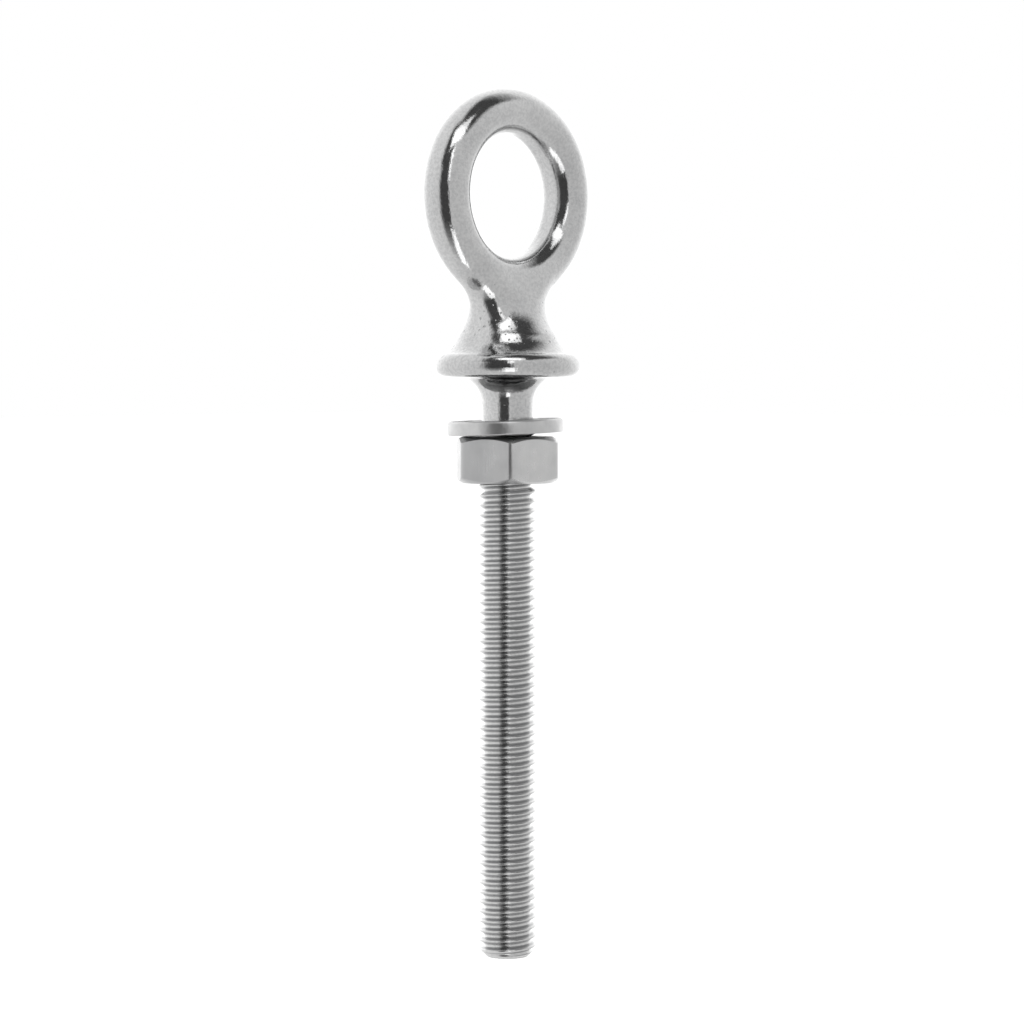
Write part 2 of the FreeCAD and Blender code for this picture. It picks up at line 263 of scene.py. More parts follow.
# %% Bridge the opening to the neck's waist
# Each station is a height and the half widths along X and Y, in millimetres.
NECK_STEPS = 20
NECK_STATIONS = [
    (8.0, 4.75, 3.10),
    (7.2, 4.52, 3.28),
    (6.3, 4.45, 3.68),
    (5.4, 4.58, 4.22),
    (4.75, 4.82, 4.72),
]
waist_height, waist_x, waist_y = NECK_STATIONS[0]
bpy.ops.mesh.select_all(action="DESELECT")
bpy.ops.mesh.primitive_circle_add(
    vertices=NECK_STEPS,
    radius=cage_radius(waist_x * MM, NECK_STEPS),
    location=(0, 0, waist_height * MM),
)
bpy.ops.transform.resize(value=(1, waist_y / waist_x, 1), center_override=(0, 0, waist_height * MM))
bpy.ops.mesh.select_mode(type="EDGE")
bpy.ops.mesh.select_all(action="DESELECT")
bpy.ops.mesh.select_non_manifold(extend=False, use_wire=True, use_boundary=True)
bpy.ops.mesh.bridge_edge_loops(number_cuts=1, interpolation="SURFACE", smoothness=0.6)
print(f"the waist is {2 * waist_x:.1f} by {2 * waist_y:.1f} mm, {waist_height:.1f} mm above the seat")


# %% Stations for the flare, rim, seat and fillet
def arc(centre_radius, centre_height, radius, first, last, steps):
    """Stations round an arc of the turned outline, from one angle to another in degrees."""
    stations = []
    for step in range(steps + 1):
        angle = math.radians(first + (last - first) * step / steps)
        reach = centre_radius + radius * math.cos(angle)
        stations.append((centre_height + radius * math.sin(angle), reach, reach))
    return stations


FLARE_RADIUS = 4.2
FLARE_CENTRE_RADIUS = 9.0
FLARE_CENTRE_HEIGHT = 5.8
RIM_RADIUS = 1.26
RIM_SWELL = 1.03
SEAT_MIDDLE = 5.6
SEAT_FILLET = 2.55
PLAIN_SHANK = 2.65
PLUG_RADIUS = 2.3
PLUG_HEIGHT = -5.5
rim_centre = collar_radius / MM - RIM_RADIUS
fillet_centre = PLAIN_SHANK + SEAT_FILLET
stations = NECK_STATIONS[1:]
stations += arc(FLARE_CENTRE_RADIUS, FLARE_CENTRE_HEIGHT, FLARE_RADIUS, 200, 236, 4)
stations += arc(rim_centre, RIM_RADIUS, RIM_RADIUS * RIM_SWELL, 74, -90, 7)
stations += [(0.0, SEAT_MIDDLE, SEAT_MIDDLE)]
stations += arc(fillet_centre, -SEAT_FILLET, SEAT_FILLET, 92, 180, 5)
stations += [(height, PLAIN_SHANK, PLAIN_SHANK) for height in (-3.6, -4.7, -4.85)]
stations += [(PLUG_HEIGHT, PLUG_RADIUS, PLUG_RADIUS)]
print(f"{len(stations)} stations from the waist down to {PLUG_HEIGHT} mm, inside the thread's top")

# %% Pull the loop down through its stations
pick(casting, lambda place: abs(place.z - waist_height * MM) < 0.01 * MM and from_eye(place) > ring_mean)
height, half_x, half_y = NECK_STATIONS[0]
for next_height, next_x, next_y in stations:
    bpy.ops.mesh.extrude_region_move(TRANSFORM_OT_translate={"value": (0, 0, (next_height - height) * MM)})
    bpy.ops.transform.resize(
        value=(next_x / half_x, next_y / half_y, 1), center_override=(0, 0, next_height * MM)
    )
    height, half_x, half_y = next_height, next_x, next_y
bpy.ops.mesh.edge_face_add()
bpy.ops.object.mode_set(mode="OBJECT")
tidy_normals(casting)
apply_modifier(casting, "SUBSURF", levels=3, render_levels=3)
report(casting)

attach(casting, "eye_bolt")
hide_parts("eye_bolt")
work_on(casting)
bpy.ops.object.shade_smooth()

# %% [markdown]
# ## The rolled thread
# The shank's thread is rolled, not cut: the blank is squeezed between dies, which push its metal up
# into rounded crests. The standard M6 thread climbs 1 mm a turn, right-handed. In Blender, one
# pitch of its outline is drawn and the Screw modifier sweeps it up the shank. The result has open
# ends, so two cuts close it, and what would be turned on a lathe, the chamfer at the end and the
# run-out at the top, is the overlap with a turned blank.


# %% Drawing an outline and turning it
def draw_outline(name, points):
    """One vertex, pulled along a list of (radius, height) points in millimetres, in the XZ plane."""
    start_clean()
    bpy.ops.mesh.primitive_plane_add(size=MM)
    line = name_piece(name)
    bpy.ops.object.mode_set(mode="EDIT")
    bpy.ops.mesh.select_mode(type="VERT")
    bpy.ops.mesh.merge(type="CENTER")
    radius, height = points[0]
    bpy.ops.transform.translate(value=(radius * MM, 0, height * MM))
    for next_radius, next_height in points[1:]:
        step = ((next_radius - radius) * MM, 0, (next_height - height) * MM)
        bpy.ops.mesh.extrude_region_move(TRANSFORM_OT_translate={"value": step})
        radius, height = next_radius, next_height
    bpy.ops.object.mode_set(mode="OBJECT")
    return line


def turn(name, points, steps=96):
    """Spin an outline once round the shank's axis, as a lathe leaves it."""
    line = draw_outline(name, points)
    bpy.ops.object.mode_set(mode="EDIT")
    bpy.ops.mesh.select_all(action="SELECT")
    bpy.ops.mesh.spin(steps=steps, angle=math.tau, center=(0, 0, 0), axis=(0, 0, 1))
    bpy.ops.object.mode_set(mode="OBJECT")
    tidy_normals(line)
    return line


def combine(piece, other, operation):
    """Keep the overlap of two closed pieces, or cut the second from the first."""
    apply_modifier(piece, "BOOLEAN", object=other, operation=operation, solver="EXACT")
    bpy.data.objects.remove(other, do_unlink=True)


# %% One pitch of the thread's outline
PITCH = 1.0
CREST_HEIGHT = 0.425
FLANK = math.tan(math.radians(30))


def thread_outline(root_radius, crest_radius, root_flat):
    """One pitch from root to root, with the root and the crest rounded off."""
    depth = crest_radius - root_radius
    half_root = root_flat / 2
    half_crest = PITCH / 2 - half_root - depth * FLANK
    climb = [
        (root_radius, 0.0),
        (root_radius + 0.012, half_root * 0.75),
        (root_radius + 0.065, half_root + 0.035),
        (crest_radius - 0.08, PITCH / 2 - half_crest - 0.045),
        (crest_radius - 0.014, PITCH / 2 - half_crest * 0.9),
        (crest_radius, PITCH / 2),
    ]
    fall = [(radius, PITCH - height) for radius, height in reversed(climb[:-1])]
    return climb + fall


# %% Sweeping it into a closed thread
THREAD_STEPS = 48


def sweep_thread(name, outline, low, high):
    """Screw the outline up past two heights, then cut and close it there."""
    first = CREST_HEIGHT - PITCH / 2 + math.floor(low - 1)
    turns = math.ceil(high - first) + 2
    thread = draw_outline(name, [(radius, first + height) for radius, height in outline])
    apply_modifier(
        thread,
        "SCREW",
        axis="Z",
        angle=math.tau,
        screw_offset=PITCH * MM,
        iterations=turns,
        steps=THREAD_STEPS,
        render_steps=THREAD_STEPS,
        use_merge_vertices=True,
        merge_threshold=0.001 * MM,
        use_normal_calculate=True,
    )
    bpy.ops.object.mode_set(mode="EDIT")
    for height, keep in ((low, "below"), (high, "above")):
        bpy.ops.mesh.select_all(action="SELECT")
        bpy.ops.mesh.bisect(
            plane_co=(0, 0, height * MM),
            plane_no=(0, 0, 1),
            threshold=0.0001 * MM,
            use_fill=True,
            clear_inner=keep == "below",
            clear_outer=keep == "above",
        )
    bpy.ops.object.mode_set(mode="OBJECT")
    tidy_normals(thread)
    return thread


# %% The shank's thread, chamfered at its end and run out at its top
# The blank's end is dished a little, as a rolled rod's is, and its sides stand clear of the crests.
ROOT_RADIUS = 2.40
CREST_RADIUS = 2.95
ROOT_FLAT = 0.25
OVERRUN = 0.5
SWEPT_TO = -4.4
THREAD_TOP = -4.65
RUN_OUT_FOOT = -5.5
BLANK_RADIUS = 3.2
end = shank_end / MM
outline = thread_outline(ROOT_RADIUS, CREST_RADIUS, ROOT_FLAT)
thread = sweep_thread("rolled_thread", outline, end - OVERRUN, SWEPT_TO)
blank = turn(
    "thread_blank",
    [
        (0.0, end + 0.22),
        (1.3, end + 0.16),
        (1.9, end),
        (2.15, end + 0.03),
        (BLANK_RADIUS, end + 1.08),
        (BLANK_RADIUS, RUN_OUT_FOOT),
        (2.35, THREAD_TOP),
        (0.0, THREAD_TOP),
    ],
)
combine(thread, blank, "INTERSECT")
report(thread)
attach(thread, "eye_bolt")
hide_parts("eye_bolt")

# %% [markdown]
# ## The nut
# A hexagon nut is punched from bar and its faces are turned, so each flat ends in a shallow arc
# where the cone of the chamfer crosses it. Drawing those arcs would be guesswork. Crossing a
# hexagon bar with a turned blank makes them as the lathe does. The edges are then broken with a
# small bevel, and last a tap, which is the shank's thread a little larger, cuts the bore.

# %% A hexagon bar with rounded corners
NUT_ACROSS_FLATS = 10.0
NUT_CORNER_HEADING = 49.8
NUT_CORNER_ROUND = 0.42
BAR_EXTRA = 0.4
nut_foot = nut_low.z / MM
nut_head = nut_high.z / MM
nut_middle = (nut_foot + nut_head) / 2

start_clean()
bpy.ops.mesh.primitive_cylinder_add(
    vertices=6,
    radius=NUT_ACROSS_FLATS / math.sqrt(3) * MM,
    depth=(nut_head - nut_foot + BAR_EXTRA) * MM,
    location=(0, 0, nut_middle * MM),
    rotation=(0, 0, math.radians(NUT_CORNER_HEADING - 30)),
)
nut = name_piece("hexagon_nut")
settle(nut)
bpy.ops.object.mode_set(mode="EDIT")
pick(nut, lambda place: abs(place.z - nut_middle * MM) < 0.1 * MM, "EDGE")
bpy.ops.mesh.bevel(offset=NUT_CORNER_ROUND * MM, segments=4, affect="EDGES")
bpy.ops.object.mode_set(mode="OBJECT")
print(f"the nut stands from {nut_foot:.2f} to {nut_head:.2f} mm")

# %% Its chamfers and countersinks, crossed in from a turned blank
NUT_FACE_RADIUS = 4.65
NUT_MOUTH_RADIUS = 3.25
COUNTERSINK = 1.2
NUT_CHAMFER = math.tan(math.radians(30))
CHAMFER_REACH = 3.0
BROKEN_EDGE = 0.07
inside = NUT_MOUTH_RADIUS - COUNTERSINK
wide = NUT_FACE_RADIUS + CHAMFER_REACH
drop = CHAMFER_REACH * NUT_CHAMFER
nut_blank = turn(
    "nut_blank",
    [
        (inside, nut_foot + COUNTERSINK),
        (NUT_MOUTH_RADIUS, nut_foot),
        (NUT_FACE_RADIUS, nut_foot),
        (wide, nut_foot + drop),
        (wide, nut_head - drop),
        (NUT_FACE_RADIUS, nut_head),
        (NUT_MOUTH_RADIUS, nut_head),
        (inside, nut_head - COUNTERSINK),
        (inside, nut_foot + COUNTERSINK),
    ],
    steps=128,
)
combine(nut, nut_blank, "INTERSECT")
apply_modifier(
    nut,
    "BEVEL",
    width=BROKEN_EDGE * MM,
    segments=2,
    limit_method="ANGLE",
    angle_limit=math.radians(24),
)
report(nut)

# %% Its thread, cut by a tap
TAP_CLEARANCE = 0.1
TAP_ROOT_FLAT = 0.134
outline = thread_outline(ROOT_RADIUS + TAP_CLEARANCE, CREST_RADIUS + TAP_CLEARANCE, TAP_ROOT_FLAT)
tap = sweep_thread("tap", outline, nut_foot - 1, nut_head + 1)
combine(nut, tap, "DIFFERENCE")
report(nut)
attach(nut, "nut")
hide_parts("hex_nut")

# %% [markdown]
# ## The washer
# A washer is stamped from sheet. The punch rolls the edge over on the side it enters and leaves
# the other side nearly square. So the blank is a flat ring, pulled up to its thickness, with a
# wide soft bevel above and a narrow one below. It lies a little askew, one side close to the nut.

# %% A flat ring
WASHER_RADIUS = 5.9
WASHER_BORE = 3.25
WASHER_THICKNESS = 1.4
WASHER_STEPS = 160

start_clean()
bpy.ops.mesh.primitive_circle_add(
    vertices=WASHER_STEPS,
    radius=WASHER_BORE * MM,
    location=(0, 0, -WASHER_THICKNESS / 2 * MM),
)
washer = name_piece("flat_washer")
settle(washer)
bpy.ops.object.mode_set(mode="EDIT")
bpy.ops.mesh.select_all(action="SELECT")
bpy.ops.mesh.extrude_region_move()
grow = WASHER_RADIUS / WASHER_BORE
bpy.ops.transform.resize(value=(grow, grow, 1), center_override=(0, 0, 0))
bpy.ops.mesh.select_all(action="SELECT")
bpy.ops.mesh.extrude_region_move(TRANSFORM_OT_translate={"value": (0, 0, WASHER_THICKNESS * MM)})
print(f"a ring of {2 * WASHER_RADIUS:.1f} mm with a {2 * WASHER_BORE:.1f} mm bore")

# %% Its rolled edges, then its tilt
EDGE_ABOVE = 0.28
EDGE_BELOW = 0.14
WASHER_TILT = 2.1


def on_an_edge(place):
    """True on the ring's outer and inner edges, on either face."""
    off_face = abs(abs(place.z) - WASHER_THICKNESS / 2 * MM)
    off_edge = min(abs(place.xy.length - radius * MM) for radius in (WASHER_RADIUS, WASHER_BORE))
    return off_face < 0.001 * MM and off_edge < 0.01 * MM


for above, offset in ((True, EDGE_ABOVE), (False, EDGE_BELOW)):
    pick(washer, lambda place: (place.z > 0) == above and on_an_edge(place), "EDGE")
    bpy.ops.mesh.bevel(offset=offset * MM, segments=4, affect="EDGES")
bpy.ops.object.mode_set(mode="OBJECT")
tidy_normals(washer)
washer.location = (washer_low + washer_high) / 2
washer.rotation_mode = "AXIS_ANGLE"
washer.rotation_axis_angle = (math.radians(-WASHER_TILT), math.sqrt(0.5), math.sqrt(0.5), 0)
settle(washer)
washer.rotation_mode = "XYZ"
report(washer)
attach(washer, "washer")
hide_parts("washer")

# %% [markdown]
# Smooth shading hides the facets of round faces. Above a piece's own angle an edge stays crisp: low
# for the nut, whose chamfers meet its flats at a shallow angle, and high for the rounded thread.

# %% Smooth the round faces, keep the edges
for piece, crisp_angle in ((thread, 40), (nut, 19), (washer, 40)):
    work_on(piece)
    bpy.ops.object.shade_smooth_by_angle(angle=math.radians(crisp_angle))
    print(f"{piece.name}: edges over {crisp_angle} degrees stay crisp")

# %% [markdown]
# ## The metals
# All three pieces are the same bare stainless steel, so one grey would do, and it would look like
# plastic. What tells them apart is how each was finished. The casting was tumbled and buffed, so it
# mirrors the room, but its skin still ripples like a cast skin and keeps small pits. The rolled
# thread shines most on its crests, and its flanks are painted darker, as painted shade. The nut's
# flats are satin, and the washer is duller still. Each finish is noise on Object coordinates, so it
# stays fixed to the metal. One helper lays a node down and links it, and a second makes the chain
# that every finish starts with.


# %% Laying nodes down
def lay(tree, kind, inputs=None, **settings):
    """Add one node, give it its settings, and fill its sockets with values or with other outputs."""
    item = tree.nodes.new(kind)
    for word, value in settings.items():
        setattr(item, word, value)
    for word, value in (inputs or {}).items():
        if isinstance(value, bpy.types.NodeSocket):
            tree.links.new(value, item.inputs[word])
        else:
            item.inputs[word].default_value = value
    return item


# %% Noise, ranges and arithmetic
def grain(tree, size, detail=3.0, stretch=(1, 1, 1)):
    """Noise whose features are about size millimetres across, drawn out along one axis or none."""
    place = lay(tree, "ShaderNodeTexCoord")
    drawn = lay(tree, "ShaderNodeMapping", {"Vector": place.outputs["Object"], "Scale": stretch})
    noise = lay(
        tree,
        "ShaderNodeTexNoise",
        {"Vector": drawn.outputs["Vector"], "Scale": 1 / (size * MM), "Detail": detail, "Roughness": 0.55},
    )
    return noise.outputs["Fac"]


def spread(tree, value, low, high, start=0.3, stop=0.7):
    """Stretch a value that runs from start to stop over the range from low to high."""
    ranged = lay(
        tree,
        "ShaderNodeMapRange",
        {"Value": value, "From Min": start, "From Max": stop, "To Min": low, "To Max": high},
    )
    return ranged.outputs["Result"]


def arith(tree, operation, first, second=0.0):
    """One Math node. Each of its two values may be a number or another node's output."""
    result = lay(tree, "ShaderNodeMath", operation=operation)
    for socket, value in zip(result.inputs, (first, second)):
        if isinstance(value, bpy.types.NodeSocket):
            tree.links.new(value, socket)
        else:
            socket.default_value = value
    return result.outputs["Value"]


# %% Tone, relief and the metal itself
def shade(tree, value, dark, light):
    """A grey between two tones of the metal, the value's 0 being the dark one."""
    tone = lay(tree, "ShaderNodeMix", {"Factor": value}, data_type="RGBA")
    tone.inputs["A"].default_value = (*dark, 1)
    tone.inputs["B"].default_value = (*light, 1)
    return tone.outputs["Result"]


def relief(tree, height, depth, below=None):
    """Bump whose height value 1 stands depth millimetres over its value 0."""
    inputs = {"Height": height, "Strength": 1.0, "Distance": depth * MM}
    if below is not None:
        inputs["Normal"] = below
    return lay(tree, "ShaderNodeBump", inputs).outputs["Normal"]


def new_metal(name):
    """A bare metal with Blender's usual shader, its nodes and that shader."""
    material = bpy.data.materials.new(name)
    material.use_nodes = True
    shader = material.node_tree.nodes["Principled BSDF"]
    shader.inputs["Metallic"].default_value = 1.0
    return material, material.node_tree, shader


def finish(tree, shader, colour, roughness, normal):
    """Plug a finish into the metal's shader."""
    tree.links.new(colour, shader.inputs["Base Color"])
    tree.links.new(roughness, shader.inputs["Roughness"])
    tree.links.new(normal, shader.inputs["Normal"])


# %% [markdown]
# ### The buffed casting
# Buffing leaves a mirror with three kinds of fault. The form ripples over a few millimetres where
# the wheel dwelt, the cast skin shows through as a fine orange peel, and gas pits stay open, most
# of them round the neck, where the wheel can't reach. Fine scratches follow the last wheel.

# %% Its noises
casting_metal, tree, shader = new_metal("buffed_cast_stainless")
patches = grain(tree, 5.0)
peel = grain(tree, 1.1, detail=4.0)
fine = grain(tree, 0.28, detail=3.0)
ripple = grain(tree, 3.6, detail=1.0)
scratches = grain(tree, 0.9, detail=3.0, stretch=(9, 9, 0.7))

print(f"{casting_metal.name}: five noises, {len(tree.nodes)} nodes")

# %% Its pits, open round the neck
PIT_SPACING = 0.62
place = lay(tree, "ShaderNodeTexCoord")
split = lay(tree, "ShaderNodeSeparateXYZ", {"Vector": place.outputs["Object"]})
pits = lay(
    tree,
    "ShaderNodeTexVoronoi",
    {"Vector": place.outputs["Object"], "Scale": 1 / (PIT_SPACING * MM), "Randomness": 1.0},
    feature="F1",
)
pit_size = spread(tree, grain(tree, 2.2, detail=1.0), 0.0, 0.24, 0.40, 0.66)
ragged = spread(tree, fine, -0.09, 0.09)
neck_low = spread(tree, split.outputs["Z"], 0.6, 1.0, 1.5 * MM, 3.0 * MM)
neck_high = spread(tree, split.outputs["Z"], 1.0, 0.25, 6.0 * MM, 12.0 * MM)
pit_reach = arith(tree, "MULTIPLY", pit_size, arith(tree, "MULTIPLY", neck_low, neck_high))
pit_edge = arith(tree, "ADD", pits.outputs["Distance"], ragged)
pit_depth = arith(tree, "SUBTRACT", pit_reach, arith(tree, "MAXIMUM", pit_edge, 0.03))
pit = spread(tree, pit_depth, 0.0, 1.0, 0.0, 0.09)
print(f"{casting_metal.name}: pits {PIT_SPACING} mm apart, {len(tree.nodes)} nodes")

# %% Its tone, polish and relief
tone = arith(tree, "MULTIPLY", spread(tree, patches, 0.0, 1.0), 0.45)
tone = arith(tree, "ADD", tone, spread(tree, fine, 0.0, 0.55, 0.36, 0.62))
# The pits are painted dark in colour: painted shade in their hollows, beside their real relief and roughness.
tone = arith(tree, "MULTIPLY", tone, arith(tree, "SUBTRACT", 1.0, pit))
polish = arith(tree, "ADD", spread(tree, patches, 0.12, 0.07), arith(tree, "MULTIPLY", pit, 0.25))
polish = arith(tree, "ADD", polish, spread(tree, peel, 0.0, 0.04))
skin = relief(tree, ripple, 0.050)
skin = relief(tree, peel, 0.020, skin)
skin = relief(tree, fine, 0.008, skin)
skin = relief(tree, scratches, 0.003, skin)
skin = relief(tree, arith(tree, "SUBTRACT", 1.0, pit), 0.05, skin)
finish(tree, shader, shade(tree, tone, (0.50, 0.502, 0.506), (0.69, 0.69, 0.688)), polish, skin)
print(f"{casting_metal.name}: {len(tree.nodes)} nodes")

# %% [markdown]
# ### The rolled thread
# Rolling leaves the crests the shiniest, and the shine falls off toward the roots. The distance
# from the shank's axis says how deep in the thread a point lies, and the metal's colour is painted
# darker at the depth of the flanks, as painted shade, and lighter again at the crests and the roots.


# %% Rolled thread, with painted shade on its flanks
def depth_in_thread(tree, root, crest):
    """0 at the root radius and 1 at the crest radius, both in millimetres."""
    place = lay(tree, "ShaderNodeTexCoord")
    flat = lay(tree, "ShaderNodeVectorMath", operation="MULTIPLY")
    tree.links.new(place.outputs["Object"], flat.inputs[0])
    flat.inputs[1].default_value = (1, 1, 0)
    length = lay(tree, "ShaderNodeVectorMath", operation="LENGTH")
    tree.links.new(flat.outputs["Vector"], length.inputs[0])
    return spread(tree, length.outputs["Value"], 0.0, 1.0, root * MM, crest * MM)


SHADED_FLANK_DEPTH = 0.42
thread_metal, tree, shader = new_metal("rolled_stainless_thread")
level = depth_in_thread(tree, ROOT_RADIUS, CREST_RADIUS)
speckle = grain(tree, 0.35, detail=4.0)
stripes = grain(tree, 1.6, detail=2.0, stretch=(1, 1, 3))
# The flanks are painted darker than the crests and the roots: painted shade in the thread.
from_shaded_flank = arith(tree, "ABSOLUTE", arith(tree, "SUBTRACT", level, SHADED_FLANK_DEPTH))
tone = spread(tree, from_shaded_flank, 0.0, 1.0, 0.10, 0.36)
tone = arith(tree, "MULTIPLY", tone, spread(tree, speckle, 0.6, 1.0))
polish = arith(tree, "ADD", spread(tree, level, 0.22, 0.15, 0.0, 1.0), spread(tree, stripes, 0.0, 0.06))
skin = relief(tree, speckle, 0.006)
finish(tree, shader, shade(tree, tone, (0.43, 0.432, 0.436), (0.70, 0.70, 0.698)), polish, skin)
print(f"{thread_metal.name}: {len(tree.nodes)} nodes")

# %% [markdown]
# ### The satin nut and the tumbled washer
# The nut's flats are drawn, so their marks run up and down. Its bore is painted dark, as painted
# shade inside the hole, and it is painted darker toward the camera's left, as painted shade on that
# side. The washer is cut from rolled sheet and tumbled, which leaves small dents and a duller,
# uneven shine.

# %% Satin nut
nut_metal, tree, shader = new_metal("satin_stainless_nut")
clouds = grain(tree, 2.4, detail=3.0)
drawn = grain(tree, 0.9, detail=3.0, stretch=(5, 5, 0.6))
# The bore's colour is painted dark inside the hole: painted shade.
bore = depth_in_thread(tree, ROOT_RADIUS, CREST_RADIUS + 0.35)
# The nut is painted darker toward the camera's left side: painted shade on that side.
place = lay(tree, "ShaderNodeTexCoord")
across = lay(tree, "ShaderNodeVectorMath", operation="DOT_PRODUCT")
tree.links.new(place.outputs["Object"], across.inputs[0])
across.inputs[1].default_value = (math.sqrt(0.5), -math.sqrt(0.5), 0)
left_side_shade = spread(tree, across.outputs["Value"], 0.30, 1.0, -2.6 * MM, 1.6 * MM)
tone = arith(tree, "MULTIPLY", spread(tree, clouds, 0.65, 1.0), spread(tree, bore, 0.1, 1.0, 0.5, 1.0))
tone = arith(tree, "MULTIPLY", tone, left_side_shade)
polish = arith(tree, "ADD", spread(tree, clouds, 0.31, 0.23), spread(tree, drawn, 0.0, 0.07))
skin = relief(tree, clouds, 0.010)
skin = relief(tree, drawn, 0.007, skin)
finish(tree, shader, shade(tree, tone, (0.42, 0.422, 0.428), (0.72, 0.72, 0.717)), polish, skin)
print(f"{nut_metal.name}: {len(tree.nodes)} nodes")

# %% Tumbled washer
washer_metal, tree, shader = new_metal("tumbled_stainless_washer")
clouds = grain(tree, 1.7, detail=4.0)
dents = grain(tree, 0.45, detail=2.0)
rolled = grain(tree, 0.3, detail=2.0, stretch=(1, 6, 6))
tone = arith(tree, "MULTIPLY", spread(tree, clouds, 0.5, 1.0), spread(tree, dents, 0.8, 1.0))
polish = arith(tree, "ADD", spread(tree, clouds, 0.38, 0.28), spread(tree, rolled, 0.0, 0.05))
skin = relief(tree, clouds, 0.012)
skin = relief(tree, dents, 0.012, skin)
finish(tree, shader, shade(tree, tone, (0.48, 0.482, 0.487), (0.67, 0.67, 0.668)), polish, skin)
print(f"{washer_metal.name}: {len(tree.nodes)} nodes")

# %% Each piece takes its metal
for piece, material in (
    (casting, casting_metal),
    (thread, thread_metal),
    (nut, nut_metal),
    (washer, washer_metal),
):
    piece.data.materials.clear()
    piece.data.materials.append(material)
    print(f"{piece.name} is {material.name}")

# %% [markdown]
# ## Floor and light
# Polished metal shows nothing of its own: it shows the room. So small bright hardware is stood in a
# white tent. The tent is the world here, a little brighter on the left, and brightest behind, down
# to the table. What draws the shape is what isn't white: the gap the camera looks through mirrors
# as the dark band down every round piece. Here dark cards stand in for the gap and for the tent's
# open top, and three soft boxes give the bright patches. The cards are seen by the metal only, so
# they cast no shadow and hide nothing, and the camera itself sees the tent as plain white.

# %% Directions round the bolt
toward_camera = Vector((-math.sqrt(0.5), -math.sqrt(0.5), 0))
camera_right = Vector((math.sqrt(0.5), -math.sqrt(0.5), 0))
TENT_CENTRE = Vector((0, 0, 0.010))


def direction(swing, lift):
    """A direction from the bolt: swing degrees right of the camera, lift degrees up."""
    swing = math.radians(swing)
    lift = math.radians(lift)
    level = toward_camera * math.cos(swing) + camera_right * math.sin(swing)
    return level * math.cos(lift) + Vector((0, 0, math.sin(lift)))


def facing(swing, lift, distance):
    """Where a flat thing goes that faces the bolt from one direction, and how it is turned."""
    outward = direction(swing, lift)
    return TENT_CENTRE + outward * distance, outward.to_track_quat("Z", "Y").to_euler()


def span(distance, degrees):
    """How wide a thing is that fills this many degrees of the view at this distance."""
    return 2 * distance * math.tan(math.radians(degrees / 2))


# %% The light table, below the longest travel of the nut
FLOOR_SIDE = 6.0
FLOOR_DROP = 16.0
FLOOR_PAINT = 0.90
FLOOR_GLOW = 0.22
start_clean()
bpy.ops.mesh.primitive_plane_add(size=FLOOR_SIDE, location=(0, 0, shank_end - FLOOR_DROP * MM))
floor = name_piece("pale_floor")
floor.visible_glossy = False
acrylic = bpy.data.materials.new("opal_acrylic")
acrylic.use_nodes = True
acrylic_shader = acrylic.node_tree.nodes["Principled BSDF"]
acrylic_shader.inputs["Base Color"].default_value = (FLOOR_PAINT, FLOOR_PAINT, FLOOR_PAINT, 1)
acrylic_shader.inputs["Roughness"].default_value = 1.0
acrylic_shader.inputs["Specular IOR Level"].default_value = 0.0
acrylic_shader.inputs["Emission Color"].default_value = (1, 1, 1, 1)
acrylic_shader.inputs["Emission Strength"].default_value = FLOOR_GLOW
floor.data.materials.append(acrylic)
floor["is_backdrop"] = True
print(f"the floor lies {FLOOR_DROP} mm below the shank's end")

# %% The tent, brighter on the left and behind
TENT_RIGHT = 0.68
TENT_LEFT = 1.03
BACK_GLOW = 0.56
tent = bpy.data.worlds.new("white_tent")
bpy.context.scene.world = tent
tent.use_nodes = True
tree = tent.node_tree
tree.nodes.clear()
sky = lay(tree, "ShaderNodeTexCoord")
across = lay(tree, "ShaderNodeVectorMath", operation="DOT_PRODUCT")
tree.links.new(sky.outputs["Generated"], across.inputs[0])
across.inputs[1].default_value = direction(-140, 20)
behind = lay(tree, "ShaderNodeVectorMath", operation="DOT_PRODUCT")
tree.links.new(sky.outputs["Generated"], behind.inputs[0])
behind.inputs[1].default_value = direction(180, 0)
sides = spread(tree, across.outputs["Value"], TENT_RIGHT, TENT_LEFT, -1.0, 1.0)
heights = lay(tree, "ShaderNodeSeparateXYZ", {"Vector": sky.outputs["Generated"]})
above_table = spread(tree, heights.outputs["Z"], 0.0, 1.0, -0.50, -0.05)
back = spread(tree, behind.outputs["Value"], 0.0, BACK_GLOW, 0.35, 1.0)
glow = arith(tree, "ADD", sides, arith(tree, "MULTIPLY", back, above_table))
inside = lay(tree, "ShaderNodeBackground", {"Color": (1, 1, 1, 1), "Strength": glow})
plain = lay(tree, "ShaderNodeBackground", {"Color": (1, 1, 1, 1), "Strength": 1.0})
seen = lay(tree, "ShaderNodeLightPath")
either = lay(tree, "ShaderNodeMixShader")
tree.links.new(seen.outputs["Is Camera Ray"], either.inputs[0])
tree.links.new(inside.outputs[0], either.inputs[1])
tree.links.new(plain.outputs[0], either.inputs[2])
lay(tree, "ShaderNodeOutputWorld", {"Surface": either.outputs[0]})
print(f"the tent runs from {TENT_RIGHT} on the right to {TENT_LEFT} on the left, and {BACK_GLOW} more behind")


# %% Dark cards
CLOTH_BRIGHTNESS = 0.07
EDGES = {"left": ("X", -0.5), "right": ("X", 0.5), "foot": ("Y", -0.5), "head": ("Y", 0.5)}


